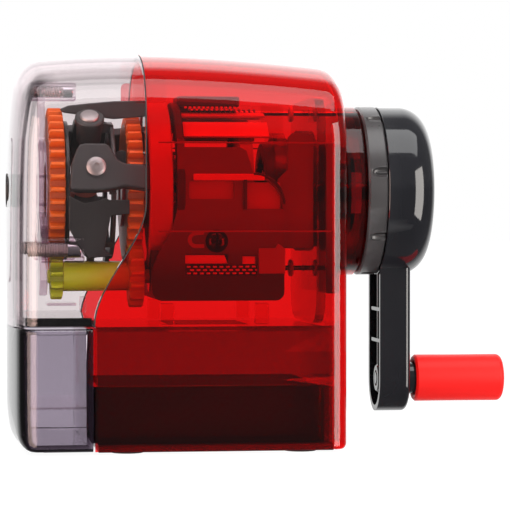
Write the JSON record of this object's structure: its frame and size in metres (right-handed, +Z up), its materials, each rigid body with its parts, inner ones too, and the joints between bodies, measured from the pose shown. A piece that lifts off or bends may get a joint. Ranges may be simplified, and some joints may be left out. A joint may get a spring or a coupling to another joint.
{
  "type": "pencil sharpener",
  "caption": "Desk pencil sharpener with clear red housing, smoke front cover and shavings drawer, crank handle, geared roller feed, planetary cutter and point dial.",
  "frame": {"origin": "middle of the overall box in plan, at the underside of the feet", "axes": "+X along the pencil from the entry hole to the crank knob, +Z up, +Y to the far side"},
  "size_m": [0.1551, 0.0694, 0.1194],
  "materials": {
    "red_shell": "clear red, polished",
    "smoke_shell": "clear smoke grey, polished",
    "clear_bracket": "clear, slightly violet, polished",
    "orange_gear": "moulded, semi-gloss",
    "lime_shaft": "moulded, semi-gloss",
    "graphite": "moulded, satin",
    "black_gloss": "polished",
    "dial_grey": "satin",
    "knob_red": "semi-gloss",
    "roller_rubber": "matt, tacky",
    "foot_rubber": "matt",
    "steel": "bright, fine turned marks"
  },
  "bodies": {
    "casing": {"front_cover": "smoke_shell", "entry_plate": "smoke_shell", "main_housing": "red_shell", "drawer_bay": "red_shell", "base_plate": "red_shell", "foot_1": "foot_rubber", "foot_2": "foot_rubber", "foot_3": "foot_rubber", "foot_4": "foot_rubber", "front_bracket": "clear_bracket", "bracket_screw_1": "steel", "bracket_screw_2": "steel", "bracket_screw_3": "steel", "mechanism_frame": "graphite", "feed_frame": "graphite", "shoe_rivet_1": "steel", "shoe_rivet_2": "steel", "shoe_rivet_3": "steel", "lever_pin_1": "steel", "lever_pin_2": "steel", "lever_pin_3": "steel", "ring_gear": "orange_gear", "bearing_plate": "graphite", "rear_collar": "red_shell", "return_spring_upper": "steel", "return_spring_lower": "steel"},
    "crank": {"crank_arm": "black_gloss", "hub_cap": "black_gloss", "main_shaft": "steel", "cutter_head": "graphite", "rear_gear": "orange_gear", "cutter_axle": "steel", "knob_pin": "black_gloss"},
    "knob": {"crank_knob": "knob_red"},
    "cutter": {"helical_cutter": "steel", "cutter_gear": "steel"},
    "lay_shaft": {"lay_shaft": "lime_shaft"},
    "front_gear": {"front_gear": "orange_gear"},
    "drawer": {"drawer": "smoke_shell"},
    "dial": {"adjust_dial": "dial_grey"},
    "adjust_slide": {"adjust_slide": "red_shell", "adjust_rod_upper": "steel", "adjust_rod_lower": "steel"},
    "lever_1": {"feed_lever_1": "graphite", "roller_axle_1": "steel"},
    "roller_1": {"feed_roller_1": "roller_rubber"},
    "lever_2": {"feed_lever_2": "graphite", "roller_axle_2": "steel"},
    "roller_2": {"feed_roller_2": "roller_rubber"},
    "lever_3": {"feed_lever_3": "graphite", "roller_axle_3": "steel"},
    "roller_3": {"feed_roller_3": "roller_rubber"}
  },
  "joints": [
    {"name": "crank_turn", "type": "hinge", "parent": "casing", "child": "crank", "pos_m": [0.0363, 0, 0.078], "axis": [1, 0, 0], "continuous": true},
    {"name": "knob_spin", "type": "hinge", "parent": "crank", "child": "knob", "pos_m": [0.0529, 0, 0.02], "axis": [1, 0, 0], "continuous": true},
    {"name": "cutter_spin", "type": "hinge", "parent": "crank", "child": "cutter", "pos_m": [0.02652, 0, 0.078], "axis": [0.9833, 0.1578, -0.0911], "continuous": true},
    {"name": "lay_shaft_spin", "type": "hinge", "parent": "casing", "child": "lay_shaft", "pos_m": [-0.0652, -0.01527, 0.05218], "axis": [1, 0, 0], "continuous": true},
    {"name": "front_gear_spin", "type": "hinge", "parent": "casing", "child": "front_gear", "pos_m": [-0.0652, 0, 0.078], "axis": [1, 0, 0], "continuous": true},
    {"name": "drawer_slide", "type": "slide", "parent": "casing", "child": "drawer", "axis": [-1, 0, 0], "range_m": [0, 0.07]},
    {"name": "dial_turn", "type": "hinge", "parent": "casing", "child": "dial", "pos_m": [0.0333, 0, 0.078], "axis": [1, 0, 0], "range_deg": [0, 135]},
    {"name": "adjust_slide_push", "type": "slide", "parent": "casing", "child": "adjust_slide", "axis": [-1, 0, 0], "range_m": [0, 0.0025], "deforming": ["return_spring_upper", "return_spring_lower"]},
    {"name": "lever_1_rock", "type": "hinge", "parent": "casing", "child": "lever_1", "pos_m": [-0.0522, -0.00197, 0.10051], "axis": [0, -0.9962, -0.0872], "range_deg": [-3, 4], "stiffness_Nm_per_rad": 0.05},
    {"name": "roller_1_spin", "type": "hinge", "parent": "lever_1", "child": "roller_1", "pos_m": [-0.0538, -0.00057, 0.08447], "axis": [0, -0.9962, -0.0872], "continuous": true},
    {"name": "lever_2_rock", "type": "hinge", "parent": "casing", "child": "lever_2", "pos_m": [-0.0522, -0.01851, 0.06504], "axis": [0, 0.5736, -0.8192], "range_deg": [-3, 4], "stiffness_Nm_per_rad": 0.05},
    {"name": "roller_2_spin", "type": "hinge", "parent": "lever_2", "child": "roller_2", "pos_m": [-0.0538, -0.00532, 0.07427], "axis": [0, 0.5736, -0.8192], "continuous": true},
    {"name": "lever_3_rock", "type": "hinge", "parent": "casing", "child": "lever_3", "pos_m": [-0.0522, 0.02048, 0.06845], "axis": [0, 0.4226, 0.9063], "range_deg": [-3, 4], "stiffness_Nm_per_rad": 0.05},
    {"name": "roller_3_spin", "type": "hinge", "parent": "lever_3", "child": "roller_3", "pos_m": [-0.0538, 0.00589, 0.07525], "axis": [0, 0.4226, 0.9063], "continuous": true}
  ],
  "couplings": [
    {"joint": "lay_shaft_spin", "follows": "crank_turn", "ratio": -2.5714},
    {"joint": "front_gear_spin", "follows": "crank_turn", "ratio": 0.64286},
    {"joint": "cutter_spin", "follows": "crank_turn", "ratio": -1.9},
    {"joint": "adjust_slide_push", "follows": "dial_turn", "m_per_rad": 0.001061}
  ]
}
